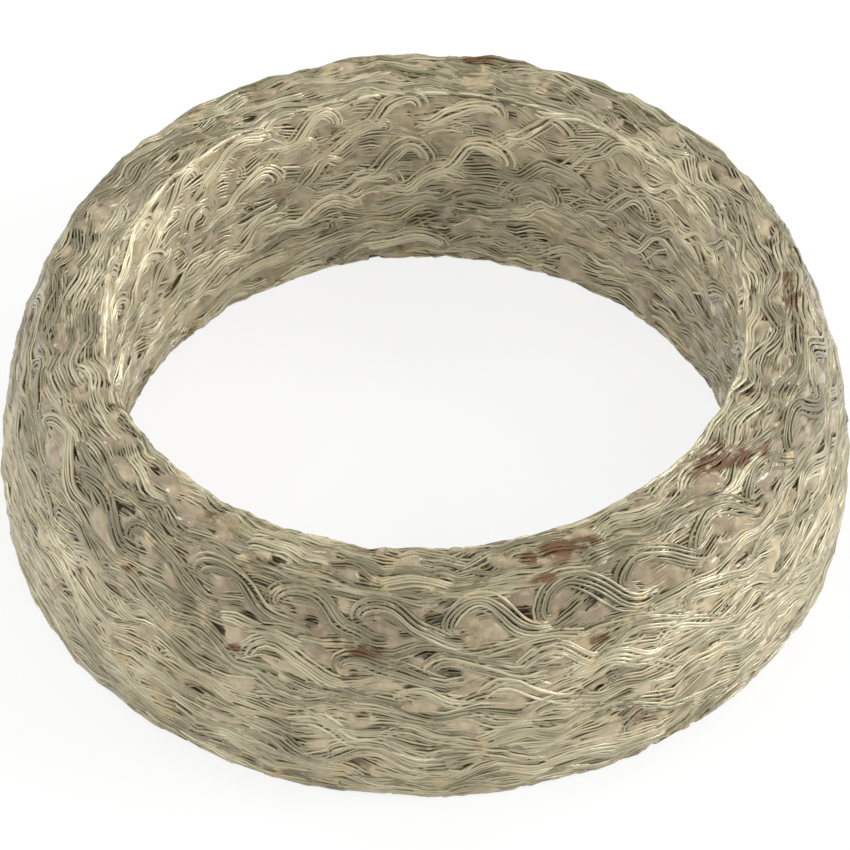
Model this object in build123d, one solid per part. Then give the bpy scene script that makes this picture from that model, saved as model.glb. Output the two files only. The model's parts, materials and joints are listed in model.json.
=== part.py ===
from build123d import *
import os
from math import asin, cos, pi, sin, sqrt

# Ball-seat exhaust ring gasket, pressed in a die from knitted steel wire and a pale filler.
# The ring stands on its wide face, with its axis on Z. All sizes are in millimetres.

# Pressed envelope
bore_radius = 24.4
land_width = 4.79
height = 18.5
ball_centre_height = 3.1
corner = 0.45

# Knit of the ball side: stitches in one turn, then the courses that sway below the first row
ball_stitches = 29
ball_first_band = 4.7
ball_course_pitch = 3.1
ball_sway = 0.4
ball_sways = 9
ball_last_band = 1.4

# Knit of the bore side
bore_stitches = 24
bore_first_band = 5.1
bore_course_pitch = 3.6
bore_sway = 0.45
bore_sways = 7
bore_last_band = 2.4

# Valley between two neighbouring wire bundles
valley_depth = 0.4

# Knit line on the narrow face
land_line_width = 0.7
land_sway = 0.3
land_sways = 9

# Filler windows that the loops of the first row leave open
window_depth = 0.35
fin_width = 3.7
fin_height = 2.4
fin_lean = 0.7
fin_foot = 4.25
eye_width = 2.3
eye_height = 0.9
eye_down = 1.35
bore_fin_width = 3.6
bore_fin_height = 2.2
bore_fin_foot = 4.5
bore_eye_down = 1.5

# Shares of a fin's width and height at the bend in each of its two sides
fin_back = (-0.43, 0.6)
fin_front = (0.1, 0.4)

land_radius = bore_radius + land_width
seat_rise = height - ball_centre_height
ball_radius = sqrt(land_radius**2 + seat_rise**2)
base_radius = sqrt(ball_radius**2 - ball_centre_height**2)
ball_top_angle = asin(seat_rise / ball_radius)
ball_arc = ball_radius * (ball_top_angle + asin(ball_centre_height / ball_radius))

POINTS_PER_SWAY = 6
PHASE_STEP = 0.9


def on_ball(down, angle, lift=0.0):
    """Point at an arc length down the ball from its top edge, lifted off the surface."""
    latitude = ball_top_angle - down / ball_radius
    reach = ball_radius + lift
    radius = reach * cos(latitude)
    return Vector(radius * cos(angle), radius * sin(angle), ball_centre_height + reach * sin(latitude))


def on_bore(down, angle, lift=0.0):
    """Point at a depth down the bore, lifted towards the axis."""
    radius = bore_radius - lift
    return Vector(radius * cos(angle), radius * sin(angle), height - down)


def on_land(out, angle, lift=0.0):
    """Point on the narrow top face, at a distance out from the bore."""
    radius = bore_radius + out
    return Vector(radius * cos(angle), radius * sin(angle), height + lift)


def on_base(out, angle, lift=0.0):
    """Point on the wide bottom face, at a distance out from the bore."""
    radius = bore_radius + out
    return Vector(radius * cos(angle), radius * sin(angle), -lift)


def loop(place, middle, lift, sway, sways, phase):
    """Closed line round the ring that sways about its middle."""
    count = sways * POINTS_PER_SWAY
    turns = [i / count for i in range(count + 1)]
    points = [
        place(middle + sway * sin(2 * pi * sways * t + phase), 2 * pi * t, lift)
        for t in turns[:-1]
    ]
    return Edge.make_spline(points, periodic=True, parameters=turns)


def courses(place, start, end, pitch, sway, sways):
    """Closed lines of a knitted stretch: valleys and the crests between them, from circle to circle."""
    count = max(1, round((end - start) / pitch))
    step = (end - start) / count
    edges = [circle_at(place(start, 0))]
    for i in range(count):
        phase = PHASE_STEP * i
        edges.append(loop(place, start + step * (i + 0.5), -valley_depth, sway, sways, phase))
        edges.append(loop(place, start + step * (i + 1), 0, sway, sways, phase))
    return [*edges[:-1], circle_at(place(end, 0))]


def circle_at(point):
    """Full circle round the axis through a point in the XZ plane."""
    return Edge.make_circle(point.X, Plane.XY.offset(point.Z))


def turned(*points):
    """Faces of revolution along a polyline in the XZ plane."""
    return [Face.revolve(Edge.make_line(a, b), 360, Axis.Z) for a, b in zip(points, points[1:])]


def ball_band(start, end):
    """Face of revolution along the ball between two arc lengths."""
    arc = Edge.make_three_point_arc(on_ball(start, 0), on_ball((start + end) / 2, 0), on_ball(end, 0))
    return Face.revolve(arc, 360, Axis.Z)


def ruled(edges):
    """Straight-ruled faces from each closed line to the next."""
    return [Face.make_surface_from_curves(a, b) for a, b in zip(edges, edges[1:])]


def flat(edges):
    """Flat face between two closed lines of one plane."""
    inner, outer = sorted(edges, key=lambda edge: edge.length)
    return Face(Wire([outer]), [Wire([inner])])


def ball_side():
    """Ball surface: a first band for the windows, then the swaying courses."""
    last = ball_arc - ball_last_band
    edges = courses(on_ball, ball_first_band, last, ball_course_pitch, ball_sway, ball_sways)
    return [ball_band(corner, ball_first_band), *ruled(edges), ball_band(last, ball_arc - corner)]


def bore_side():
    """Bore wall: a first band for the windows, then the swaying courses."""
    last = height - bore_last_band
    edges = courses(on_bore, bore_first_band, last, bore_course_pitch, bore_sway, bore_sways)
    top_band = turned(on_bore(corner, 0), on_bore(bore_first_band, 0))
    low_band = turned(on_bore(last, 0), on_bore(height - corner, 0))
    return [*top_band, *ruled(edges), *low_band]


def land_face():
    """Narrow top face with one valley between its two bundles."""
    middle, half = land_width / 2, land_line_width / 2
    lines = [
        loop(on_land, middle - half, 0, land_sway, land_sways, 0),
        loop(on_land, middle, -valley_depth, land_sway, land_sways, 0),
        loop(on_land, middle + half, 0, land_sway, land_sways, 0),
    ]
    inner = flat([circle_at(on_land(corner, 0)), lines[0]])
    outer = flat([lines[-1], circle_at(on_land(land_width - corner, 0))])
    return [inner, *ruled(lines), outer]


def base_face():
    """Wide bottom face, plain between its bevels."""
    width = base_radius - bore_radius
    return flat([circle_at(on_base(corner, 0)), circle_at(on_base(width - corner, 0))])


def rims():
    """Small bevels where the die halves meet the flat faces."""
    width = base_radius - bore_radius
    return [
        *turned(on_land(corner, 0), on_bore(corner, 0)),
        *turned(on_land(land_width - corner, 0), on_ball(corner, 0)),
        *turned(on_base(corner, 0), on_bore(height - corner, 0)),
        *turned(on_base(width - corner, 0), on_ball(ball_arc - corner, 0)),
    ]


def fin(width, rise):
    """Filler window under the crest of a loop that leans over like a wave."""
    back = (fin_back[0] * width, fin_back[1] * rise)
    front = (fin_front[0] * width, fin_front[1] * rise)
    with BuildSketch() as outline:
        with BuildLine():
            Polyline((-width / 2, 0), back, (-fin_lean, rise), front, (width / 2, 0), close=True)
        make_face()
    return outline.sketch


def eye(width, rise):
    """Small window in the dip between two loops."""
    with BuildSketch() as outline:
        with BuildLine():
            Polyline((-width / 2, rise / 2), (0, -rise / 2), (width / 2, rise / 2), close=True)
        make_face()
    return outline.sketch


def windows(outline, place, down, stitches, shift):
    """Cutters for one window in each stitch, square to the surface."""
    cutters = []
    for i in range(stitches):
        angle = 2 * pi * (i + shift) / stitches
        origin = place(down, angle)
        outward = place(down, angle, window_depth) - origin
        seat = Plane(origin, x_dir=Vector(0, 0, 1).cross(outward), z_dir=outward)
        cutters.append(extrude(seat * outline, window_depth, both=True))
    return cutters


def gasket():
    """The pressed ring: one closed skin, with the filler windows cut into its first rows."""
    skin = Shell([*ball_side(), *bore_side(), *land_face(), base_face(), *rims()])
    cutters = [
        *windows(fin(fin_width, fin_height), on_ball, fin_foot, ball_stitches, 0),
        *windows(eye(eye_width, eye_height), on_ball, eye_down, ball_stitches, 0.5),
        *windows(fin(bore_fin_width, bore_fin_height), on_bore, bore_fin_foot, bore_stitches, 0),
        *windows(eye(eye_width, eye_height), on_bore, bore_eye_down, bore_stitches, 0.5),
    ]
    return Solid(skin).cut(*cutters)


os.makedirs("parts", exist_ok=True)
export_step(gasket(), "parts/gasket_ring.step")
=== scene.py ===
import json
from math import asin, cos, pi, radians, sin, sqrt, tau

import bpy
import numpy as np
from mathutils import Matrix, Vector


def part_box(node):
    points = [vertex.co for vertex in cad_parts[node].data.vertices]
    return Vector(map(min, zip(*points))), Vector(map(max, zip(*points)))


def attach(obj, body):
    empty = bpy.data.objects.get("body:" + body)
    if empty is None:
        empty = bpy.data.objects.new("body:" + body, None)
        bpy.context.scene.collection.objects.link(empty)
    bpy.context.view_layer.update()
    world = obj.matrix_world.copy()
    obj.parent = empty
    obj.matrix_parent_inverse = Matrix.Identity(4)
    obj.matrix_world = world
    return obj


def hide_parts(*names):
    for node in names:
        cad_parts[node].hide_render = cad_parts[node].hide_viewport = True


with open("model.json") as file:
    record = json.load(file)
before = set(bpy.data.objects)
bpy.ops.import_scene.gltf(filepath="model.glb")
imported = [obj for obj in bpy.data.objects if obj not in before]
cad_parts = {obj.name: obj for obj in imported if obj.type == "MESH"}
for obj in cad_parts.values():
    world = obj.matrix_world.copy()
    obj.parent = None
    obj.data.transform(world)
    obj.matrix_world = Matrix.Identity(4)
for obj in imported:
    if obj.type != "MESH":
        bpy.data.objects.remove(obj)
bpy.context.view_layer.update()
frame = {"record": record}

bl_info = {
    "name": "Knitted Wire Ring Gasket",
    "version": (1, 0, 0),
    "blender": (4, 5, 0),
    "location": "View3D > Sidebar > Gasket",
    "description": "Dresses a pressed exhaust ring gasket with its knitted wires and filler",
    "category": "Mesh",
}

MM = 0.001

# The ring's own sizes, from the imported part, in millimetres
MOUNTS = {mount["name"]: mount for mount in frame["record"]["mounts"]}
BORE_RADIUS = MOUNTS["pipe_bore"]["dims"]["r_mm"]
BALL_RADIUS = MOUNTS["ball_seat"]["dims"]["r_mm"]
BALL_HEIGHT = MOUNTS["ball_seat"]["pos_m"][2] / MM
RING_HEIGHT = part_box("gasket_ring")[1][2] / MM
LAND_RADIUS = sqrt(BALL_RADIUS**2 - (RING_HEIGHT - BALL_HEIGHT) ** 2)
BASE_RADIUS = sqrt(BALL_RADIUS**2 - BALL_HEIGHT**2)


# Settings

def colour(name, description, default):
    """A colour property, as linear red, green and blue."""
    return bpy.props.FloatVectorProperty(
        name=name, description=description, default=default, subtype="COLOR", size=3, min=0, max=1
    )


def amount(name, description, default, unit="NONE"):
    """A number property that is never negative."""
    return bpy.props.FloatProperty(name=name, description=description, default=default, min=0, unit=unit)


def length(name, description, default):
    """A length property, in the file's own millimetres."""
    return amount(name, f"{description}, in millimetres", default)


def view_angle(name, description, degrees):
    """An angle property of the camera, given here in degrees."""
    return bpy.props.FloatProperty(
        name=name, description=description, default=radians(degrees), subtype="ANGLE"
    )


class WireSettings(bpy.types.PropertyGroup):
    """Sizes of the wire and of the strands that run side by side."""

    radius: length("Wire radius", "Radius of one wire", 0.14)
    gap: length("Wire pitch", "Distance between neighbouring wires in a strand", 0.264)
    wander: length("Wander", "How far a wire strays from its place in the strand", 0.04)
    dive: length("Dive", "How far strands dip in and out of the filler", 0.04)
    stagger: length("Stagger", "How unevenly the wires of a strand dive at its ends", 0.14)
    skin: length("Skin", "Depth of the outermost wires' middle below the die's surface", 0.12)
    peep: length("Peep", "How far the buried courses' middle stands over the filler's surface", 0.04)
    sink: length("Sink", "Depth that a strand dives to at its ends", 0.75)
    warp: length("Warp", "How far the pressing pushed whole courses out of line", 0.28)
    seed: bpy.props.IntProperty(name="Seed", description="Start of the random numbers", default=11)


class FillerSettings(bpy.types.PropertyGroup):
    """Sizes of the pressed filler behind and between the wires."""

    lumps: length("Lumps", "Unevenness of the filler", 0.05)
    hollow: length("Hollow", "Depth of the hollows that the filler didn't reach", 0.45)
    dents: length("Dents", "Unevenness of the whole pressed surface", 0.075)
    corner: length("Corner", "Rounding of the ring's edges", 0.3)


class FinishSettings(bpy.types.PropertyGroup):
    """Colours of the wire, the filler, the painted shade and grime, and the rust."""

    # The wire colours and the filler colours are blended by a tone that also carries painted light and shade
    # by place, so the dull and dark ends partly stand for shade
    wire: colour("Wire", "Colour of the wire under a film of filler", (0.665, 0.596, 0.396))
    wire_dull: colour("Dull wire", "Colour of the bare wire", (0.180, 0.156, 0.080))
    filler: colour("Filler", "Colour of the filler patches", (0.49, 0.395, 0.230))
    filler_dark: colour("Dark filler", "Colour of the stained filler", (0.210, 0.156, 0.084))
    # Painted shade in the colour of grime, which darkens deep places and the grooves between wires
    shade_and_grime: colour("Grime", "Colour deep between the wires", (0.115, 0.082, 0.030))
    rust: colour("Rust", "Colour of the rust marks", (0.120, 0.053, 0.013))


class StageSettings(bpy.types.PropertyGroup):
    """Camera and light."""

    elevation: view_angle("Elevation", "Angle at which the camera looks down at the ring's middle", 45.8)
    distance: length("Distance", "Distance of the camera from the ring's middle", 387.8)
    focal: amount("Focal length", "Lens of the camera, for a frame 36 mm wide", 212.2, unit="CAMERA")
    roll: view_angle("Roll", "Turn of the picture", -0.52)
    aim: view_angle("Aim", "How far under the ring's middle the camera aims", 0.355)
    world: amount("World light", "Strength of the even light", 0.735)
    key: amount("Key light", "Power of the right lamp", 2.85, unit="POWER")
    fill: amount("Fill light", "Power of the left lamp", 1.2, unit="POWER")
    front: amount("Front light", "Power of the front lamp", 0.65, unit="POWER")
    top: amount("Top light", "Power of each high back lamp", 0.7, unit="POWER")


class GasketSettings(bpy.types.PropertyGroup):
    """Everything a user would change."""

    wire: bpy.props.PointerProperty(type=WireSettings)
    filler: bpy.props.PointerProperty(type=FillerSettings)
    finish: bpy.props.PointerProperty(type=FinishSettings)
    stage: bpy.props.PointerProperty(type=StageSettings)


# Shapes of the stitches

# One stitch of a flattened loop: its strand starts under the loop before it, curls up into an eye, passes
# over its crest and dives under the next loop. Each point is its place along the row in pitches, how far down
# it lies in rises, and its depth as a share of the full dive.
STITCH = np.array([
    (0.24, 0.06, 1.00),
    (0.10, 0.30, 0.55),
    (-0.02, 0.00, 0.12),
    (0.06, -0.66, 0.00),
    (0.26, -1.00, 0.00),
    (0.48, -0.78, 0.00),
    (0.65, -0.05, 0.00),
    (0.81, 0.66, 0.00),
    (1.00, 0.97, 0.10),
    (1.20, 0.94, 0.45),
    (1.38, 0.74, 1.00),
])

# A stitch that the die pressed nearly straight: it hooks out of the depth and runs to the next one
FLAT_STITCH = np.array([
    (0.02, 0.45, 1.00),
    (0.04, 0.25, 0.45),
    (0.10, -0.35, 0.08),
    (0.24, -0.90, 0.00),
    (0.42, -0.90, 0.00),
    (0.58, -0.20, 0.00),
    (0.74, 0.60, 0.00),
    (0.92, 0.98, 0.05),
    (1.10, 0.95, 0.40),
    (1.26, 0.75, 1.00),
])

# A stretch of a pushed-over loop that crosses its neighbours at a slant, in the same shares
SLANT = np.array([
    (0.00, 0.10, 1.00),
    (0.10, 0.05, 0.30),
    (0.24, -0.45, 0.00),
    (0.42, -0.50, 0.00),
    (0.60, 0.20, 0.00),
    (0.76, 0.55, 0.00),
    (0.90, 0.30, 0.30),
    (1.00, 0.00, 1.00),
])

# The pitch that those shapes are given in: so many stitches round the ring, this many millimetres down a side
SHAPE_STITCHES = 27
SHAPE_DOWN = 2

# Corners of a wire's outline, in degrees from its outward side, where the die flattened the outer wires.
# Corners beyond the flank's angle lie in the groove between a wire and its neighbours.
OUTER_WIRE = (-115, -42, 42, 115)
BURIED_WIRE = (-100, 0, 100)
FLANK = 90

# How much painted shade darkens a wire's flanks in the grooves, from 0 to 1: by a strand's two outermost
# wires, by its inner and by buried ones
OUTER_GROOVE_SHADE = 1
INNER_GROOVE_SHADE = 0.45
BURIED_GROOVE_SHADE = 0.67


# Unevenness of the stitches

# How far a stitch's length varies, as a share of it, and how far the stitch slides along the row, in pitches
REACH_RANGE = (0.9, 1.12)
SLIDE = 0.05

# Its rise as a share of the row's, how far that share varies, and how far it bobs up and down, in millimetres
RISE = 1.15
RISE_SPREAD = 0.4
BOB = 0.14

# How far a stitch and a scattered stretch lean, in millimetres of fall for each pitch
LEAN = 0.18
SCATTER_LEAN = 0.3

# A strand's width as a share of its full width: at its ends, what it gains between them, how soon it has
# narrowed again, where more than 1 is before its end, and how far it differs from strand to strand
FAN_END = 0.87
FAN_GAIN = 0.13
FAN_SOON = 1.15
WIDTH_RANGE = (0.92, 1.07)

# How many waves one wire makes along its stitch, and their height as a share of the wander
WIRE_WAVES = (1, 3)
WIRE_WAVE = 1.2

# How sharply a strand's ends dive, as a power of their depth, and how far the depths vary, as a share
DIVE_BEND = 1.3
DIVE_RANGE = (0.8, 1.2)

# How much deeper than the skin whole strands, their outermost wires and single wires lie, in millimetres,
# then the step down of the few wires that lie lower still, and the share of wires that do
STRAND_DEPTH = (0, 0.08)
STRAND_ARCH = (0.04, 0.16)
WIRE_DEPTH = (0, 0.10)
LOW_WIRE_DEPTH = 0.2
LOW_WIRES = 0.12

# Tone of whole strands and of single wires, less the middle of the two
STRAND_TONE = 0.6
WIRE_TONE = 0.5
MIDDLE_TONE = 0.55

# Buried courses: their pitch in millimetres, points in a course inside and outside, and spread of their tone
BURIED_PITCH = 0.27
INNER_POINTS = 130
OUTER_POINTS = 160
BURIED_TONE = 0.4


class Row:
    """One course of stitches, with down, rise, scatter and proud in millimetres: how far down its side it
    lies, the stitches round the ring, the wires in a strand, how high a stitch rises, how many pitches the
    first one is shifted by, the share that curls into an eye, a stitch's length as a share of its shape's,
    and the points in a wire. A scattered row holds stretches that cross the others, spread so far up and
    down. A less loose row keeps its stitches more alike, and a proud one stands out over its neighbours."""

    def __init__(
        self, down, stitches, wires, rise, shift,
        curl=0.0, reach=1.1, samples=16, scatter=0, loose=1.0, proud=0.0,
    ):
        self.down, self.stitches, self.wires = down, stitches, wires
        self.rise, self.shift, self.curl, self.loose = rise, shift, curl, loose
        self.reach, self.samples, self.scatter, self.proud = reach, samples, scatter, proud


# The rows, by part of a side: down, stitches, wires, rise and shift, then curl, reach and samples where a row
# hasn't the usual ones. The narrow face's count out from the bore, and the wide face's in from the ball.
BALL_HIGH = [
    Row(0.20, 29, 5, 0.20, 0.55, loose=0.5),
    Row(2.30, 29, 6, 1.38, 0.00, 1, 1.02, 27, loose=0.2, proud=0.07),
    Row(4.95, 29, 4, 0.30, 0.30, 0.3, loose=0.5),
    Row(6.70, 29, 6, 0.90, 0.75, 0.8, 1.05, 20, loose=0.4, proud=0.04),
]
BALL_MIDDLE = [
    Row(8.80, 29, 7, 0.80, 0.25, 0.5, 1.1, 18),
    Row(10.85, 29, 7, 0.75, 0.70, 0.5, 1.1, 18),
    Row(12.90, 29, 7, 0.66, 0.22, 0.4, 1.1, 17),
    Row(10.0, 40, 4, 0.60, 0.0, reach=0.9, samples=12, scatter=4.5),
]
BALL_LOW = [
    Row(14.90, 29, 7, 0.62, 0.74, 0.4, 1.1, 17),
    Row(16.90, 29, 7, 0.46, 0.28, 0.3),
    Row(18.55, 29, 6, 0.24, 0.75, samples=14),
    Row(15.2, 36, 4, 0.55, 0.0, reach=0.9, samples=12, scatter=3.0),
]
BORE_HIGH = [
    Row(0.45, 24, 5, 0.24, 0.45),
    Row(2.30, 24, 6, 1.25, 0.00, 0.9, 1.0, 22, loose=0.4, proud=0.05),
    Row(4.80, 24, 7, 1.10, 0.45, 0.7, 1.05, 22),
    Row(7.20, 24, 7, 1.40, 0.90, 0.9, 1.0, 23, loose=0.6, proud=0.05),
]
BORE_LOW = [
    Row(9.60, 24, 7, 1.10, 0.35, 0.6, 1.05, 20),
    Row(11.70, 24, 7, 0.80, 0.80, 0.4, 1.1, 17),
    Row(13.70, 24, 7, 0.56, 0.25, 0.3, 1.1, 17),
    Row(15.75, 24, 7, 0.44, 0.70, 0.2),
    Row(17.70, 24, 6, 0.24, 0.20, samples=14),
    Row(12.0, 40, 4, 0.55, 0.0, reach=0.9, samples=12, scatter=5.0),
]
LAND = [
    Row(0.75, 25, 6, 0.28, 0.20, samples=15),
    Row(2.35, 25, 6, 0.44, 0.70, 0.3, samples=15),
    Row(3.95, 25, 6, 0.30, 0.22, samples=15),
    Row(2.35, 28, 3, 0.45, 0.0, reach=0.75, samples=10, scatter=1.7),
]
BASE = [
    Row(0.80, 27, 6, 0.24, 0.10, samples=12),
    Row(2.45, 27, 7, 0.40, 0.60, samples=12),
    Row(4.20, 27, 7, 0.40, 0.10, samples=12),
    Row(5.90, 27, 7, 0.36, 0.60, samples=12),
    Row(7.50, 27, 6, 0.24, 0.10, samples=12),
    Row(4.2, 30, 4, 0.45, 0.0, reach=0.8, samples=10, scatter=3.2),
]

# The parts of each side that become one mesh each
SIDES = {
    "ball": (BALL_HIGH, BALL_MIDDLE, BALL_LOW),
    "bore": (BORE_HIGH, BORE_LOW),
    "land": (LAND,),
    "base": (BASE,),
}

# The sides that each mesh of buried courses covers, and the points in one of its courses
BURIED = {
    "buried_courses_outer": (("ball", "base"), OUTER_POINTS),
    "buried_courses_inner": (("bore", "land"), INNER_POINTS),
}

# What is added to the seed for each thing's own random numbers, and for each side's rows
STREAMS = {"warp": 0, "hollows": 1, "dents": 2, "dive": 3, "buried": 3, "filler": 5}
SIDE_STREAMS = {"ball": (4, 97), "bore": (4, 111), "land": (4, 97), "base": (4, 97)}


# Looks and depths by place along the section, in millimetres from the bore's top edge: out over the narrow
# face to 4.8, down the ball to 23.9, in under the wide face to 32.4 and up the bore to 50.9

# How pale the wire and filler are, partly a film of filler and partly painted light and shade by place: the
# first rows by the narrow face are dark, where the die pressed them clean, and carry painted shade where they
# face up into the light; the rest keeps a film of filler, most of all the bore's upper rows, which also carry
# painted light where they lie in shade
DUST_AND_PAINTED_LIGHT = (
    (0, 0.32), (2.4, 0.2), (4.8, 0.12), (7.2, 0.02), (10, 0.18),
    (13, 0.45), (43, 0.55), (46, 0.95), (51, 0.975),
)

# How deep the filler lies between the wires, how many times as far the strands stand out, and how far the
# filler swells up where they leave room: the bore is the barer side
FILLING = ((0, 0.31), (4.8, 0.31), (7.2, 0.30), (13, 0.26), (24, 0.26), (44, 0.40), (51, 0.41))
RELIEF = ((0, 1), (24, 1), (44, 1.7), (51, 1.7))
SWELLING = ((0, 0.15), (4.8, 0.24), (10, 0.22), (15, 0.13), (24, 0.10), (44, 0.13), (51, 0.13))

# The push from which a hollow opens, the count of strands' ends from which a pocket does, and how much more
# of either opens it fully
HOLLOW_FROM = 1.2
POCKET_FROM = 0.35
OPENING_SPAN = 0.7

# The filler's mesh: points along the section and round the ring. Its bare places are found on a finer grid.
FILLER_ROWS = 186
FILLER_COLUMNS = 440
FINER_ROWS = 2
FINER_COLUMNS = 3

# A wire covers the filler where it lies no further than this below the skin, in millimetres, and this many
# grid rows to each side of its line. Its line is marked at every such part of the way between two points.
COVER_DEPTH = 0.25
COVER_ROWS = 0.6
COVER_STEP = 0.25

# Passes that smooth the bare places: from row to row (0) or from column to column (1), and how far
SMOOTHING = ((0, 2), (1, 3), (0, 1), (1, 2))

# How bare the filler is where it starts to swell, and how much barer where it has swollen fully. Some places
# swell less than others: the middle share, its spread and the least.
SWELL_FROM = 0.3
SWELL_SPAN = 0.45
SWELL_MIDDLE = 0.75
SWELL_SPREAD = 0.3
SWELL_LEAST = 0.3

# Rust and burnt marks: angle in degrees, then place along the section and size, in millimetres
RUST_MARKS = [
    (-124.8, 2.0, 0.9),
    (-71.7, 2.2, 1.1),
    (-68.4, 2.3, 1.6),
    (-65.1, 2.5, 1.1),
    (-36.6, 2.3, 1.8),
    (-34.5, 3.6, 1.2),
    (-72.6, 4.5, 0.8),
    (-30.3, 4.9, 0.8),
    (1.8, 3.8, 0.9),
    (6.3, 3.6, 0.6),
    (81.9, 4.6, 1.1),
    (177.3, 7.1, 0.6),
    (-98.4, 9.6, 0.8),
    (-134.4, 9.9, 0.6),
    (-66.3, 10.8, 0.6),
    (-116.4, 11.7, 0.7),
    (-60.6, 19.7, 1.0),
]

# A mark is longer round the ring than across, and has faded out at this many sizes from its middle
RUST_ROUND = 0.7
RUST_ACROSS = 1.3
RUST_END = 1.35

# Keeps a line that stands still from being divided by nothing
TINY = 1e-9


def random_for(settings, stream):
    """Random numbers of its own for one thing."""
    return np.random.default_rng(settings.wire.seed + STREAMS[stream])


def share_past(value, start, span):
    """How far a value is past a start, as a share of a span, from 0 to 1."""
    return np.clip((value - start) / span, 0, 1)


class Section:
    """The pressed outline as a closed path: over the narrow face, down the ball, in under the base and up the
    bore."""

    # Spacing of the stored places, and the least height of any place over the floor, in millimetres
    STEP = 0.02
    FOOT = 0.13
    # How many corner lengths the rounding takes in to each side, and how fast its weights fall off
    REACH = 3
    FALL = 2

    def __init__(self, corner, dents):
        self.dents = dents
        top_angle = asin((RING_HEIGHT - BALL_HEIGHT) / BALL_RADIUS)
        low_angle = -asin(BALL_HEIGHT / BALL_RADIUS)
        land = LAND_RADIUS - BORE_RADIUS
        ball = BALL_RADIUS * (top_angle - low_angle)
        base = BASE_RADIUS - BORE_RADIUS
        self.lengths = {"land": land, "ball": ball, "base": base, "bore": RING_HEIGHT}
        self.total = sum(self.lengths.values())
        # Where each side's rows are measured from, and which way: the bore's go down from its top edge
        self.starts = {"land": (0, 1), "ball": (land, 1), "base": (land + ball, 1), "bore": (0, -1)}
        shares = [(np.arange(0, side, self.STEP) + self.STEP / 2) / side for side in self.lengths.values()]
        turn = top_angle + (low_angle - top_angle) * shares[1]
        radii = [
            BORE_RADIUS + land * shares[0],
            BALL_RADIUS * np.cos(turn),
            BASE_RADIUS - base * shares[2],
            np.full(len(shares[3]), BORE_RADIUS),
        ]
        heights = [
            np.full(len(shares[0]), RING_HEIGHT),
            BALL_HEIGHT + BALL_RADIUS * np.sin(turn),
            np.zeros(len(shares[2])),
            RING_HEIGHT * shares[3],
        ]
        begins = np.cumsum((0, land, ball, base))
        sides = zip(begins, shares, self.lengths.values())
        self.at = np.concatenate([begin + share * side for begin, share, side in sides])
        self.radius = self.softened(np.concatenate(radii), corner)
        self.height = self.softened(np.concatenate(heights), corner)
        along_r = np.roll(self.radius, -1) - np.roll(self.radius, 1)
        along_z = np.roll(self.height, -1) - np.roll(self.height, 1)
        size = np.hypot(along_r, along_z)
        self.out_r, self.out_z = -along_z / size, along_r / size

    def softened(self, values, corner):
        """The values round the closed path, averaged over the corner's length."""
        reach = np.arange(-self.REACH * corner, self.REACH * corner, self.STEP)
        weights = np.exp(-((reach / corner) ** 2) * self.FALL)
        half = len(weights) // 2
        padded = np.concatenate((values[-half:], values, values[:half]))
        return np.convolve(padded, weights / weights.sum(), "same")[half:-half]

    def look_up(self, values, path):
        """A stored value at places along the path."""
        return np.interp(path % self.total, self.at, values, period=self.total)

    def place(self, path, angle, depth):
        """Points below the dented surface, in millimetres."""
        depth = depth + self.dents.at(path, angle)
        radius = self.look_up(self.radius, path) - depth * self.look_up(self.out_r, path)
        height = self.look_up(self.height, path) - depth * self.look_up(self.out_z, path)
        return np.stack((radius * np.cos(angle), radius * np.sin(angle), np.maximum(height, self.FOOT)), -1)

    def outward(self, path, angle):
        """Unit normals of the surface."""
        out = self.look_up(self.out_r, path)
        return np.stack((out * np.cos(angle), out * np.sin(angle), self.look_up(self.out_z, path)), -1)


class Pressing:
    """A smooth random push over the whole ring, as a sum of waves. The slowest and fastest are given in
    crests round the ring, and across is how fast they change down a side. The fast waves are the weaker."""

    WAVES = 26
    FADE_START = 6
    FADE = 0.6

    def __init__(self, rng, size, slowest, fastest, across):
        self.around = rng.integers(slowest, fastest, self.WAVES)
        self.across = rng.normal(0, across, self.WAVES)
        self.phase = rng.uniform(0, tau, self.WAVES)
        strength = 1 / (self.FADE_START + self.around) ** self.FADE
        self.strength = size * strength / np.sqrt((strength**2).sum() / 2)

    def at(self, path, angle):
        """Push at each place."""
        total = np.zeros(np.broadcast(path, angle).shape)
        for around, across, phase, strength in zip(self.around, self.across, self.phase, self.strength):
            total = total + strength * np.sin(around * angle + across * path + phase)
        return total


def smooth_path(points, count):
    """Evenly sampled cubic B-spline that follows a list of points, rounding its bends."""
    at = np.linspace(0, len(points) - 1, count)
    index = np.clip(at.astype(int), 0, len(points) - 2)
    part = (at - index)[:, None]
    padded = np.vstack((2 * points[0] - points[1], points, 2 * points[-1] - points[-2]))
    a, b, c, d = (padded[index + shift] for shift in range(4))
    late = (1 + 3 * part + 3 * part**2 - 3 * part**3) * c + part**3 * d
    return ((1 - part) ** 3 * a + (4 - 6 * part**2 + 3 * part**3) * b + late) / 6


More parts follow.
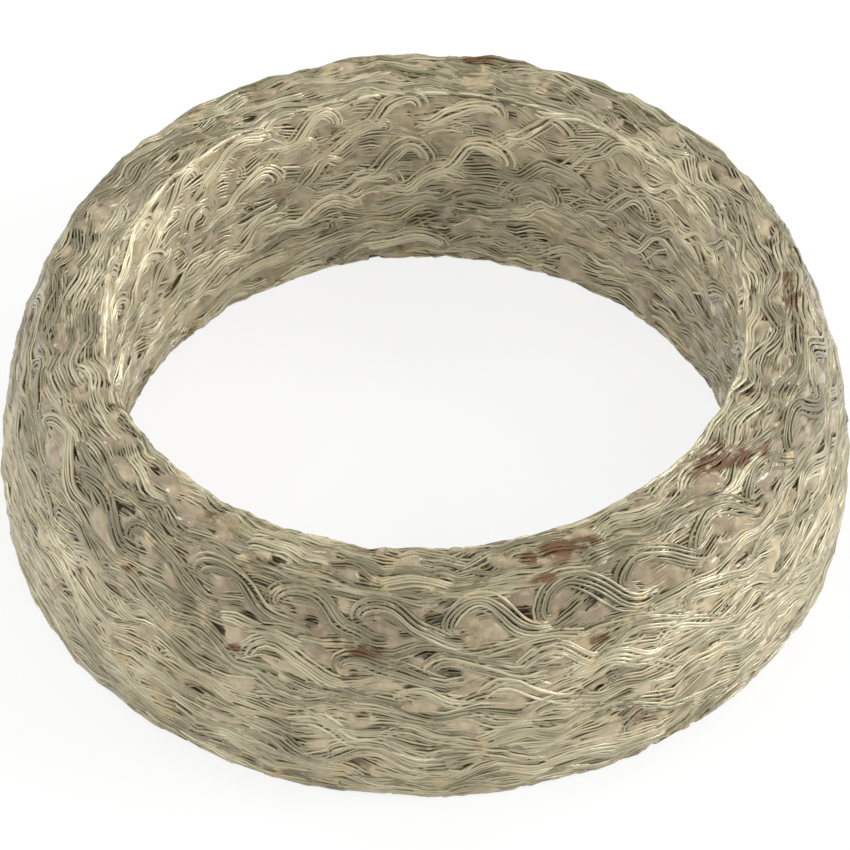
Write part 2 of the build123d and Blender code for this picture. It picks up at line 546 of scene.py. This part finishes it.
class Knit:
    """The ring's courses, worked out once from the settings."""

    def __init__(self, settings):
        self.wire, self.filler = settings.wire, settings.filler
        dents = Pressing(
            random_for(settings, "dents"), self.filler.dents, slowest=12, fastest=70, across=0.9
        )
        self.section = Section(self.filler.corner, dents)
        self.warp = Pressing(
            random_for(settings, "warp"), self.wire.warp, slowest=3, fastest=46, across=1.1
        )
        self.rough = Pressing(random_for(settings, "hollows"), 1, slowest=24, fastest=60, across=2.8)
        self.dive = Pressing(
            random_for(settings, "dive"), self.wire.dive, slowest=24, fastest=90, across=2.6
        )

    def by_place(self, table, path):
        """A table's value at places along the section."""
        places, values = zip(*table)
        return np.interp(path % self.section.total, places, values)

    def hollow(self, path, angle):
        """Share of a hollow at each place: the spots that the filler didn't reach."""
        return share_past(self.rough.at(path, angle), HOLLOW_FROM, OPENING_SPAN)

    def stitched(self, side, row, rng):
        """A row's wires: place along the section, angle, depth, tone and painted groove shade, each [wire,
        sample].
        """
        wire, section = self.wire, self.section
        start, sign = section.starts[side]
        middle = start + sign * row.down
        radius = section.look_up(section.radius, middle)
        pitch = tau * section.look_up(section.radius, start + sign * SHAPE_DOWN) / SHAPE_STITCHES
        strands, wires = (row.stitches, 1, 1), (row.stitches, row.wires, 1)
        share = np.linspace(0, 1, row.samples)
        order = np.arange(row.wires)[None, :, None] - (row.wires - 1) / 2

        # The line that a strand follows: along the row and down the section
        curled, flat, slant = (smooth_path(line, row.samples) for line in (STITCH, FLAT_STITCH, SLANT))
        line = slant if row.scatter else np.where(rng.uniform(0, 1, strands) < row.curl, curled, flat)
        along, down, dive = np.moveaxis(line.reshape(-1, 1, row.samples, 3), -1, 0)
        along = along * row.reach * rng.uniform(*REACH_RANGE, strands)
        along = pitch * (along + rng.normal(0, SLIDE, strands) * row.loose)
        along = along + rng.normal(0, wire.stagger, wires)
        down = down * row.rise * (RISE + row.loose * rng.uniform(-RISE_SPREAD, RISE_SPREAD, strands))
        down = down + row.loose * rng.normal(0, BOB, strands)
        lean = rng.normal(0, SCATTER_LEAN if row.scatter else LEAN, strands)
        down = down + row.loose * along / pitch * lean

        # How far each wire lies to the side of that line
        step_x, step_y = np.gradient(along, axis=-1), np.gradient(down, axis=-1)
        size = np.hypot(step_x, step_y) + TINY
        fan = FAN_END + FAN_GAIN * np.sqrt(np.sin(pi * np.clip(share * FAN_SOON, 0, 1)))
        sway = np.sin(tau * rng.uniform(*WIRE_WAVES, wires) * share + rng.uniform(0, tau, wires))
        offset = order * wire.gap * fan * rng.uniform(*WIDTH_RANGE, strands)
        offset = offset + rng.normal(0, wire.wander, wires) + wire.wander * WIRE_WAVE * sway

        # Where that puts it on the ring, pushed by the pressing
        turn = tau * (np.arange(row.stitches)[:, None, None] + row.shift) / row.stitches
        turn = turn + rng.uniform(-0.5, 0.5, strands) * tau / row.stitches * (row.scatter > 0)
        middle = middle + rng.uniform(-1, 1, strands) * row.scatter
        push = self.warp.at(middle + sign * down, turn + along / radius)
        angle = turn + (along + step_y / size * offset) / radius
        path = middle + sign * (down - step_x / size * offset) + push

        # Its depth and its tone
        sink = np.clip(dive, 0, None) ** DIVE_BEND * wire.sink * rng.uniform(*DIVE_RANGE, strands)
        arch = (2 * order / row.wires) ** 2
        lower = rng.uniform(*STRAND_DEPTH, strands) + arch * rng.uniform(*STRAND_ARCH, strands)
        single = rng.uniform(*WIRE_DEPTH, wires) + LOW_WIRE_DEPTH * (rng.uniform(0, 1, wires) < LOW_WIRES)
        depth = wire.skin + lower * self.by_place(RELIEF, path) + (single * row.loose - row.proud) + sink
        depth = depth + self.dive.at(path, angle)
        tone = STRAND_TONE * rng.uniform(0, 1, strands) + WIRE_TONE * rng.uniform(0, 1, wires) - MIDDLE_TONE
        # Add the film of filler and the painted light and shade by place
        tone = tone + self.by_place(DUST_AND_PAINTED_LIGHT, path)
        outermost = np.abs(order) > row.wires / 2 - 1
        # Painted shade on the flanks, darkest at a strand's outer edges
        groove = np.where(outermost, OUTER_GROOVE_SHADE, INNER_GROOVE_SHADE) + 0 * path
        return tuple(values.reshape(-1, row.samples) for values in (path, angle, depth, tone, groove))

    def buried(self, side, samples, rng):
        """Whole courses under the stitches, as closed loops, in the same five values."""
        start, sign = self.section.starts[side]
        extent = self.section.lengths[side]
        count = round(extent / BURIED_PITCH)
        path = start + sign * (np.arange(count)[:, None] + 0.5) * extent / count
        angle = np.arange(samples)[None, :] * tau / samples
        waves = Pressing(rng, size=0.32, slowest=12, fastest=27, across=0.45)
        stray = Pressing(rng, size=0.05, slowest=18, fastest=34, across=9.0)
        bob = Pressing(rng, size=0.05, slowest=20, fastest=50, across=4.0)
        depth = self.by_place(FILLING, path) - self.wire.peep + bob.at(path, angle)
        angle = angle + 0 * path
        path = path + self.warp.at(path, angle) + waves.at(path, angle) + stray.at(path, angle)
        depth = depth + self.filler.hollow * self.hollow(path, angle)
        # The tone holds random variation, the film of filler and painted light and shade by place
        tone = rng.uniform(-BURIED_TONE, BURIED_TONE, (count, 1)) + self.by_place(DUST_AND_PAINTED_LIGHT, path)
        return path, angle, depth, tone, BURIED_GROOVE_SHADE + 0 * path

    def bare_share(self, lines, rows, columns):
        """How bare of wires the skin is, over a grid of the whole section, from 0 to 1."""
        cover = np.zeros((rows, columns))
        for path, angle, depth, *_ in lines:
            for part in np.arange(0, 1, COVER_STEP):
                between = [a[:, :-1] + (a[:, 1:] - a[:, :-1]) * part for a in (path, angle, depth)]
                row = between[0] / self.section.total * rows
                column = (between[1] / tau * columns).astype(int) % columns
                shown = between[2] < self.wire.skin + COVER_DEPTH
                for side_step in (-COVER_ROWS, COVER_ROWS):
                    cover[(row + side_step).astype(int)[shown] % rows, column[shown]] = 1
        bare = 1 - cover
        for axis, reach in SMOOTHING:
            bare = sum(np.roll(bare, shift, axis) for shift in range(-reach, reach + 1)) / (2 * reach + 1)
        return bare

    def pockets(self, lines, rows, columns):
        """Where strands come up out of the depth, over a grid of the whole section, from 0 to 1."""
        found = np.zeros((rows, columns))
        for path, angle, *_ in lines:
            row = np.round(path[:, 1] / self.section.total * rows).astype(int) % rows
            column = np.round(angle[:, 1] / tau * columns).astype(int) % columns
            np.add.at(found, (row, column), 1)
        for axis in (0, 1):
            found = found / 2 + (np.roll(found, 1, axis) + np.roll(found, -1, axis)) / 4
        return share_past(found, POCKET_FROM, OPENING_SPAN)

    def side_lines(self, side):
        """Centre lines of all the stitched rows of a side, row by row."""
        rng = np.random.default_rng((self.wire.seed, *SIDE_STREAMS[side]))
        return [self.stitched(side, row, rng) for part in SIDES[side] for row in part]


# Meshes

def tubes(centres, normals, radius, form, closed=False):
    """Tubes along centre lines [wire, sample, xyz]: vertices, quads and end caps. Closed ones are loops."""
    wires, samples = centres.shape[:2]
    if closed:
        along = np.roll(centres, -1, axis=1) - np.roll(centres, 1, axis=1)
    else:
        along = np.gradient(centres, axis=1)
    along /= np.linalg.norm(along, axis=-1, keepdims=True)
    across = np.cross(along, normals)
    across /= np.linalg.norm(across, axis=-1, keepdims=True)
    up = np.cross(across, along)
    turn = np.radians(form)
    ring = np.cos(turn)[:, None] * up[:, :, None] + np.sin(turn)[:, None] * across[:, :, None]
    points = (centres[:, :, None] + radius * ring).reshape(-1, 3)
    index = np.arange(wires * samples * len(form)).reshape(wires, samples, len(form))
    beside, after = np.roll(index, -1, axis=2), np.roll(index, -1, axis=1)
    both = np.roll(beside, -1, axis=1)
    quads = np.stack((index, beside, both, after), -1)
    if closed:
        return points, quads.reshape(-1, 4), np.zeros((0, len(form)), int)
    caps = np.concatenate((index[:, 0, ::-1], index[:, -1]))
    return points, quads[:, :-1].reshape(-1, 4), caps


def build_mesh(name, points, quads, caps, values):
    """A smooth mesh object from arrays, in metres, with a value per point for each named attribute."""
    mesh = bpy.data.meshes.new(name)
    mesh.vertices.add(len(points))
    mesh.vertices.foreach_set("co", (points * MM).astype(np.float32).ravel())
    corners = np.concatenate((quads.ravel(), caps.ravel()))
    mesh.loops.add(len(corners))
    mesh.loops.foreach_set("vertex_index", corners.astype(np.int32))
    sizes = np.concatenate((np.full(len(quads), 4), np.full(len(caps), caps.shape[1])))
    mesh.polygons.add(len(sizes))
    mesh.polygons.foreach_set("loop_start", (np.cumsum(sizes) - sizes).astype(np.int32))
    mesh.polygons.foreach_set("use_smooth", np.ones(len(sizes), bool))
    mesh.update(calc_edges=True)
    for key, value in values.items():
        stored = mesh.attributes.new(key, "FLOAT", "POINT")
        stored.data.foreach_set("value", value.astype(np.float32).ravel())
    piece = bpy.data.objects.new(name, mesh)
    bpy.context.collection.objects.link(piece)
    return piece


def dress(piece, material):
    """Finish a piece and seat it on the ring."""
    piece.data.materials.append(material)
    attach(piece, "root")
    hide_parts("gasket_ring")


def rust_at(section, path, angle):
    """Share of rust at each place, from the marks."""
    wrapped = (path + section.total / 2) % section.total - section.total / 2
    radius = section.look_up(section.radius, path)
    rust = np.zeros(np.broadcast(path, angle).shape)
    for turn, place, size in RUST_MARKS:
        apart = (angle - radians(turn) + pi) % tau - pi
        far = np.hypot(apart * radius * RUST_ROUND, (wrapped - place) * RUST_ACROSS) / size
        rust = np.maximum(rust, np.clip(RUST_END - far, 0, 1))
    return rust


def wires_piece(name, knit, finish, lines, form, closed=False):
    """One piece of all the wires along some centre lines, with their looks stored on its points."""
    parts, base = [], 0
    values = {"tone": [], "sunk": [], "rust": [], "groove": []}
    flank = np.abs(form) > FLANK
    for path, angle, depth, tone, groove in lines:
        centres, normals = knit.section.place(path, angle, depth), knit.section.outward(path, angle)
        points, quads, caps = tubes(centres, normals, knit.wire.radius, form, closed)
        parts.append((points, quads + base, caps + base))
        base += len(points)
        rust = rust_at(knit.section, path, angle)
        for store, value in zip(values.values(), (tone, depth, rust)):
            store.append(np.repeat(value.ravel(), len(form)))
        # Painted groove shade is stored only on the corners that lie in the groove
        values["groove"].append((groove.ravel()[:, None] * flank).ravel())
    points, quads, caps = (np.vstack(arrays) for arrays in zip(*parts))
    looks = {key: np.concatenate(value) for key, value in values.items()}
    piece = build_mesh(name, points, quads, caps, looks)
    dress(piece, wire_material(finish))


def filler_piece(settings):
    """The filler behind the wires, as one closed ring that swells up where they leave room."""
    knit = Knit(settings)
    section, filler = knit.section, settings.filler
    rows, columns = FILLER_ROWS, FILLER_COLUMNS
    lines = [line for side in SIDES for line in knit.side_lines(side)]
    bare = knit.bare_share(lines, rows * FINER_ROWS, columns * FINER_COLUMNS)[::FINER_ROWS, ::FINER_COLUMNS]
    swell = share_past(bare, SWELL_FROM, SWELL_SPAN)
    swell = swell * swell * (3 - 2 * swell)
    path = (np.arange(rows) * section.total / rows)[:, None]
    angle = (np.arange(columns) * tau / columns)[None, :]
    rng = random_for(settings, "filler")
    lumps = Pressing(rng, filler.lumps, slowest=20, fastest=120, across=3.0).at(path, angle)
    uneven = Pressing(rng, SWELL_SPREAD, slowest=8, fastest=60, across=0.8).at(path, angle)
    uneven = np.clip(SWELL_MIDDLE + uneven, SWELL_LEAST, 1)
    hollow = np.maximum(knit.hollow(path, angle), knit.pockets(lines, rows, columns))
    swelling = knit.by_place(SWELLING, path) * swell * uneven * (1 - hollow)
    depth = knit.by_place(FILLING, path) + lumps + filler.hollow * hollow - swelling
    path, angle = path + 0 * angle, angle + 0 * path
    index = np.arange(rows * columns).reshape(rows, columns)
    below, beside = np.roll(index, -1, axis=0), np.roll(index, -1, axis=1)
    quads = np.stack((index, below, np.roll(below, -1, axis=1), beside), -1).reshape(-1, 4)
    # The filler's tone is the film of filler and the painted light and shade by place
    values = {"sunk": depth, "rust": rust_at(section, path, angle), "tone": knit.by_place(DUST_AND_PAINTED_LIGHT, path)}
    places = section.place(path, angle, depth).reshape(-1, 3)
    piece = build_mesh("filler", places, quads, np.zeros((0, 4), int), values)
    dress(piece, filler_material(settings.finish))


# Materials

# The range that most of a noise's values fall in
NOISE_RANGE = (0.3, 0.7)


def node_at(tree, kind, **values):
    """A node with its properties and socket values set."""
    node = tree.nodes.new(kind)
    for key, value in values.items():
        if hasattr(node, key):
            setattr(node, key, value)
        else:
            node.inputs[key].default_value = value
    return node


def worked_out(tree, operation, first, second):
    """Result of one sum on two values, held between 0 and 1."""
    node = node_at(tree, "ShaderNodeMath", operation=operation, use_clamp=True)
    tree.links.new(first, node.inputs[0])
    tree.links.new(second, node.inputs[1])
    return node.outputs[0]


def attribute(tree, name):
    """The value stored on the mesh under a name."""
    return node_at(tree, "ShaderNodeAttribute", attribute_name=name).outputs["Fac"]


def mix_colour(tree, factor, first, second):
    """Blend of two colours, each a socket or a value."""
    node = tree.nodes.new("ShaderNodeMix")
    node.data_type = "RGBA"
    for key, value in (("Factor", factor), (6, first), (7, second)):
        socket = node.inputs[key]
        if isinstance(value, bpy.types.NodeSocket):
            tree.links.new(value, socket)
        else:
            socket.default_value = (*value, 1)
    return node.outputs[2]


def mix_shader(tree, factor, first, second):
    """Blend of two shaders by a factor, which is a socket or a value."""
    node = tree.nodes.new("ShaderNodeMixShader")
    if isinstance(factor, bpy.types.NodeSocket):
        tree.links.new(factor, node.inputs["Fac"])
    else:
        node.inputs["Fac"].default_value = factor
    tree.links.new(first, node.inputs[1])
    tree.links.new(second, node.inputs[2])
    return node.outputs[0]


def ramp(tree, value, low, high, to_low=0.0, to_high=1.0):
    """Value mapped from one range to another, held at its ends."""
    node = tree.nodes.new("ShaderNodeMapRange")
    tree.links.new(value, node.inputs["Value"])
    for key, number in (("From Min", low), ("From Max", high), ("To Min", to_low), ("To Max", to_high)):
        node.inputs[key].default_value = number
    return node.outputs["Result"]


def noise(tree, scale, detail=3.0, roughness=0.55):
    """Noise in the object's own space, with its scale in bumps per metre."""
    place = tree.nodes.new("ShaderNodeTexCoord")
    node = node_at(tree, "ShaderNodeTexNoise", Scale=scale, Detail=detail, Roughness=roughness)
    tree.links.new(place.outputs["Object"], node.inputs["Vector"])
    return node.outputs["Fac"]


def patches(tree, scale, first, last, detail=3.0):
    """Noise whose usual range is mapped to run from one value to another."""
    return ramp(tree, noise(tree, scale, detail), *NOISE_RANGE, to_low=first, to_high=last)


def group_once(name, inputs, outputs, build):
    """A shader node group that is made the first time it is asked for."""
    tree = bpy.data.node_groups.get(name)
    if tree:
        return tree
    tree = bpy.data.node_groups.new(name, "ShaderNodeTree")
    for socket, kind in inputs:
        tree.interface.new_socket(socket, in_out="INPUT", socket_type=kind)
    for socket, kind in outputs:
        tree.interface.new_socket(socket, in_out="OUTPUT", socket_type=kind)
    build(tree, tree.nodes.new("NodeGroupInput").outputs, tree.nodes.new("NodeGroupOutput").inputs)
    return tree


def shade_and_soiling_group():
    """Painted shade and grime in the deep places, darker with depth, and rust at the marks, over any colour.
    """

    def build(tree, given, out):
        # Painted shade and grime: the colour turns to the grime's as a place lies deeper
        deep = tree.nodes.new("ShaderNodeMapRange")
        tree.links.new(attribute(tree, "sunk"), deep.inputs["Value"])
        tree.links.new(given["Shallow"], deep.inputs["From Min"])
        tree.links.new(given["Deep"], deep.inputs["From Max"])
        broken = ramp(tree, noise(tree, scale=900), low=0.34, high=0.6)
        patchy = worked_out(tree, "MULTIPLY", attribute(tree, "rust"), broken)
        rust = ramp(tree, patchy, low=0.1, high=0.5, to_high=0.95)
        rusty = mix_colour(tree, rust, given["Color"], given["Rust"])
        tree.links.new(mix_colour(tree, deep.outputs["Result"], rusty, given["Grime"]), out["Color"])
        tree.links.new(rust, out["Rust"])

    inputs = (
        ("Color", "NodeSocketColor"), ("Grime", "NodeSocketColor"), ("Rust", "NodeSocketColor"),
        ("Shallow", "NodeSocketFloat"), ("Deep", "NodeSocketFloat"),
    )
    outputs = (("Color", "NodeSocketColor"), ("Rust", "NodeSocketFloat"))
    return group_once("Soiling", inputs, outputs, build)


def shaded_and_soiled(tree, base, finish, shallow, deep):
    """The group's colour and rust over a colour. Painted shade and grime set in between two depths in
    millimetres.
    """
    node = node_at(tree, "ShaderNodeGroup", node_tree=shade_and_soiling_group(), Shallow=shallow, Deep=deep)
    tree.links.new(base, node.inputs["Color"])
    node.inputs["Grime"].default_value = (*finish.shade_and_grime, 1)
    node.inputs["Rust"].default_value = (*finish.rust, 1)
    return node.outputs["Color"], node.outputs["Rust"]


def new_material(name, **values):
    """A material with values on its Principled shader, or the one already made and no shader."""
    material = bpy.data.materials.get(name)
    if material:
        return material, None
    material = bpy.data.materials.new(name)
    material.use_nodes = True
    shader = material.node_tree.nodes["Principled BSDF"]
    for key, value in values.items():
        shader.inputs[key.replace("_", " ")].default_value = value
    return material, shader


def wire_material(finish):
    """Dulled steel wire, with a film of filler in patches."""
    material, shader = new_material("knitted steel wire", Metallic=0.7, Roughness=0.42, Coat_Roughness=0.22)
    if shader:
        tree = material.node_tree
        uneven = patches(tree, scale=160, first=-0.22, last=0.22)
        # The stored tone holds random variation, a film of filler and painted light and shade by place
        tone = worked_out(tree, "ADD", attribute(tree, "tone"), uneven)
        base = mix_colour(tree, tone, finish.wire_dull, finish.wire)
        film = ramp(tree, noise(tree, scale=480, detail=5, roughness=0.65), low=0.56, high=0.68)
        base = mix_colour(tree, film, base, finish.filler)
        # Painted shade in the grooves between wires, in the grime's colour
        groove = ramp(tree, attribute(tree, "groove"), low=0.1, high=0.9, to_high=0.5)
        base = mix_colour(tree, groove, base, finish.shade_and_grime)
        # Painted shade and grime darken the wire with its depth below the skin
        base, rust = shaded_and_soiled(tree, base, finish, shallow=0.24, deep=0.78)
        covered = worked_out(tree, "MAXIMUM", film, rust)
        tree.links.new(base, shader.inputs["Base Color"])
        rough = patches(tree, scale=1400, first=0.28, last=0.45, detail=2)
        tree.links.new(rough, shader.inputs["Roughness"])
        for key, bare in (("Metallic", 0.35), ("Coat Weight", 0.65)):
            value = ramp(tree, covered, low=0, high=1, to_low=bare, to_high=0)
            tree.links.new(value, shader.inputs[key])
    return material


def filler_material(finish):
    """Pale pressed filler, glazed in patches."""
    material, shader = new_material("pressed filler", Coat_Roughness=0.12)
    if shader:
        tree = material.node_tree
        uneven = patches(tree, scale=420, first=0.55, last=-0.4)
        grain = patches(tree, scale=1500, first=-0.22, last=0.26, detail=4)
        # The stored tone holds the film of filler and painted light and shade by place
        tone = worked_out(tree, "ADD", attribute(tree, "tone"), uneven)
        tone = worked_out(tree, "ADD", tone, grain)
        base = mix_colour(tree, tone, finish.filler_dark, finish.filler)
        # Painted shade and grime darken the filler with its depth below the skin
        base, rust = shaded_and_soiled(tree, base, finish, shallow=0.17, deep=0.56)
        glaze = ramp(tree, noise(tree, scale=350), low=0.35, high=0.5)
        glaze = worked_out(tree, "SUBTRACT", glaze, rust)
        bump = node_at(tree, "ShaderNodeBump", Strength=1.0, Distance=0.22 * MM)
        tree.links.new(noise(tree, scale=900, detail=4), bump.inputs["Height"])
        tree.links.new(base, shader.inputs["Base Color"])
        tree.links.new(patches(tree, scale=700, first=0.28, last=0.55), shader.inputs["Roughness"])
        tree.links.new(glaze, shader.inputs["Coat Weight"])
        tree.links.new(bump.outputs["Normal"], shader.inputs["Normal"])
    return material


# Stage

WHITE = (1, 1, 1, 1)
FLOOR_GREY = (0.9, 0.9, 0.9, 1)

# Half the floor's width, and how far it lies below the ring, in metres
FLOOR_HALF = 1.2
FLOOR_DROP = 0.00005

# How much of the floor that the camera sees is plain white, so that the shadow stays faint
FLOOR_WHITE = 0.8

# Soft square lamps: name, place and width in metres, and the setting that holds their power
LAMPS = (
    ("key_lamp", (0.60, -0.05, 0.28), 0.3, "key"),
    ("fill_lamp", (-0.60, -0.10, 0.25), 0.4, "fill"),
    ("front_lamp", (0.25, -0.50, 0.45), 0.3, "front"),
    ("back_right_lamp", (0.35, 0.35, 0.60), 0.15, "top"),
    ("back_left_lamp", (-0.35, 0.35, 0.60), 0.15, "top"),
)

# Width of the camera's frame in millimetres, and the nearest and farthest that it sees, in metres
FRAME_WIDTH = 36
NEAREST = 0.01
FARTHEST = 10

MIDDLE = Vector((0, 0, RING_HEIGHT * MM / 2))


def white_when_seen(tree, shader, seen):
    """One shader for the light on the object and another for what the camera, metal and glass see."""
    rays = tree.nodes.new("ShaderNodeLightPath").outputs
    direct = worked_out(tree, "ADD", rays["Is Camera Ray"], rays["Is Glossy Ray"])
    factor = worked_out(tree, "ADD", direct, rays["Is Transmission Ray"])
    return mix_shader(tree, factor, shader, seen)


def build_world(stage):
    """Even light, seen as white by the camera."""
    world = bpy.data.worlds.new("studio")
    world.use_nodes = True
    tree = world.node_tree
    light = tree.nodes["Background"]
    light.inputs["Color"].default_value = WHITE
    light.inputs["Strength"].default_value = stage.world
    seen = node_at(tree, "ShaderNodeBackground", Color=WHITE, Strength=1.0)
    shown = white_when_seen(tree, light.outputs[0], seen.outputs[0])
    tree.links.new(shown, tree.nodes["World Output"].inputs["Surface"])
    bpy.context.scene.world = world


def build_floor():
    """A wide pale floor under the ring."""
    corners = [(x * FLOOR_HALF, y * FLOOR_HALF, 0) for x, y in ((-1, -1), (1, -1), (1, 1), (-1, 1))]
    mesh = bpy.data.meshes.new("floor")
    mesh.from_pydata(corners, [], [(0, 1, 2, 3)])
    floor = bpy.data.objects.new("floor", mesh)
    floor.location.z = -FLOOR_DROP
    bpy.context.collection.objects.link(floor)
    material, shader = new_material("pale floor", Base_Color=FLOOR_GREY, Roughness=0.9)
    tree = material.node_tree
    white = node_at(tree, "ShaderNodeEmission", Strength=1.0)
    seen = mix_shader(tree, FLOOR_WHITE, shader.outputs[0], white.outputs[0])
    shown = white_when_seen(tree, shader.outputs[0], seen)
    tree.links.new(shown, tree.nodes["Material Output"].inputs["Surface"])
    mesh.materials.append(material)


def build_lamps(stage):
    """Soft square lamps that look at the ring's middle."""
    for name, place, width, power in LAMPS:
        data = bpy.data.lights.new(name, "AREA")
        data.shape = "SQUARE"
        data.size = width
        data.energy = getattr(stage, power)
        lamp = bpy.data.objects.new(name, data)
        lamp.location = place
        lamp.rotation_euler = (MIDDLE - Vector(place)).to_track_quat("-Z", "Y").to_euler()
        bpy.context.collection.objects.link(lamp)


def build_camera(stage):
    """The camera at the photograph's angle."""
    data = bpy.data.cameras.new("camera")
    data.lens, data.sensor_width = stage.focal, FRAME_WIDTH
    data.clip_start, data.clip_end = NEAREST, FARTHEST
    camera = bpy.data.objects.new("camera", data)
    away = Vector((0, -cos(stage.elevation), sin(stage.elevation)))
    camera.location = MIDDLE + stage.distance * MM * away
    look = Matrix.Rotation(pi / 2 - stage.elevation - stage.aim, 4, "X")
    camera.rotation_euler = (look @ Matrix.Rotation(stage.roll, 4, "Z")).to_euler()
    bpy.context.collection.objects.link(camera)
    bpy.context.scene.camera = camera


# Operators and panel

class KnitOperator:
    """Shared by the operators that knit one side of the ring, each with the name of its side."""

    bl_options = {"REGISTER", "UNDO"}

    def execute(self, context):
        """Knit each part of the side as a mesh."""
        settings = context.scene.gasket
        knit = Knit(settings)
        lines = knit.side_lines(self.side)
        for number, rows in enumerate(SIDES[self.side], start=1):
            part, lines = lines[:len(rows)], lines[len(rows):]
            wires_piece(f"{self.side}_knit_{number}", knit, settings.finish, part, OUTER_WIRE)
        return {"FINISHED"}


class GASKET_OT_ball_knit(KnitOperator, bpy.types.Operator):
    """Knit the wires of the ball"""

    bl_idname = "gasket.ball_knit"
    bl_label = "Knit the ball"
    side = "ball"


class GASKET_OT_bore_knit(KnitOperator, bpy.types.Operator):
    """Knit the wires of the bore"""

    bl_idname = "gasket.bore_knit"
    bl_label = "Knit the bore"
    side = "bore"


class GASKET_OT_land_knit(KnitOperator, bpy.types.Operator):
    """Knit the wires of the narrow top face"""

    bl_idname = "gasket.land_knit"
    bl_label = "Knit the top face"
    side = "land"


class GASKET_OT_base_knit(KnitOperator, bpy.types.Operator):
    """Knit the wires of the wide bottom face"""

    bl_idname = "gasket.base_knit"
    bl_label = "Knit the bottom face"
    side = "base"


class GASKET_OT_buried_courses(bpy.types.Operator):
    """Lay the whole courses that show between the stitches"""

    bl_idname = "gasket.buried_courses"
    bl_label = "Lay the buried courses"
    bl_options = {"REGISTER", "UNDO"}

    def execute(self, context):
        """Build the outer and the inner buried courses."""
        settings = context.scene.gasket
        knit = Knit(settings)
        rng = random_for(settings, "buried")
        for name, (sides, samples) in BURIED.items():
            lines = [knit.buried(side, samples, rng) for side in sides]
            wires_piece(name, knit, settings.finish, lines, BURIED_WIRE, closed=True)
        return {"FINISHED"}


class GASKET_OT_filler(bpy.types.Operator):
    """Press the filler behind the wires"""

    bl_idname = "gasket.filler"
    bl_label = "Press the filler"
    bl_options = {"REGISTER", "UNDO"}

    def execute(self, context):
        """Build the filler as one ring."""
        filler_piece(context.scene.gasket)
        return {"FINISHED"}


class GASKET_OT_stage(bpy.types.Operator):
    """Set up the floor, the light and the camera"""

    bl_idname = "gasket.stage"
    bl_label = "Set the stage"
    bl_options = {"REGISTER", "UNDO"}

    def execute(self, context):
        """Build the stage round the ring."""
        stage = context.scene.gasket.stage
        build_world(stage)
        build_floor()
        build_lamps(stage)
        build_camera(stage)
        context.scene.view_settings.view_transform = "Standard"
        return {"FINISHED"}


OPERATORS = (
    GASKET_OT_filler,
    GASKET_OT_buried_courses,
    GASKET_OT_ball_knit,
    GASKET_OT_bore_knit,
    GASKET_OT_land_knit,
    GASKET_OT_base_knit,
    GASKET_OT_stage,
)


class GASKET_PT_panel(bpy.types.Panel):
    """Lists the gasket's operators"""

    bl_idname = "GASKET_PT_panel"
    bl_label = "Ring gasket"
    bl_space_type = "VIEW_3D"
    bl_region_type = "UI"
    bl_category = "Gasket"

    def draw(self, context):
        """One button for each operator."""
        for operator in OPERATORS:
            self.layout.operator(operator.bl_idname)


GROUPS = (WireSettings, FillerSettings, FinishSettings, StageSettings, GasketSettings)


def register():
    """Register the classes and the settings."""
    for cls in (*GROUPS, *OPERATORS, GASKET_PT_panel):
        bpy.utils.register_class(cls)
    bpy.types.Scene.gasket = bpy.props.PointerProperty(type=GasketSettings)


def unregister():
    """Undo register."""
    del bpy.types.Scene.gasket
    for cls in reversed((*GROUPS, *OPERATORS, GASKET_PT_panel)):
        bpy.utils.unregister_class(cls)


def main():
    register()
    for operator in OPERATORS:
        group, name = operator.bl_idname.split(".")
        getattr(getattr(bpy.ops, group), name)()


if __name__ == "__main__":
    main()
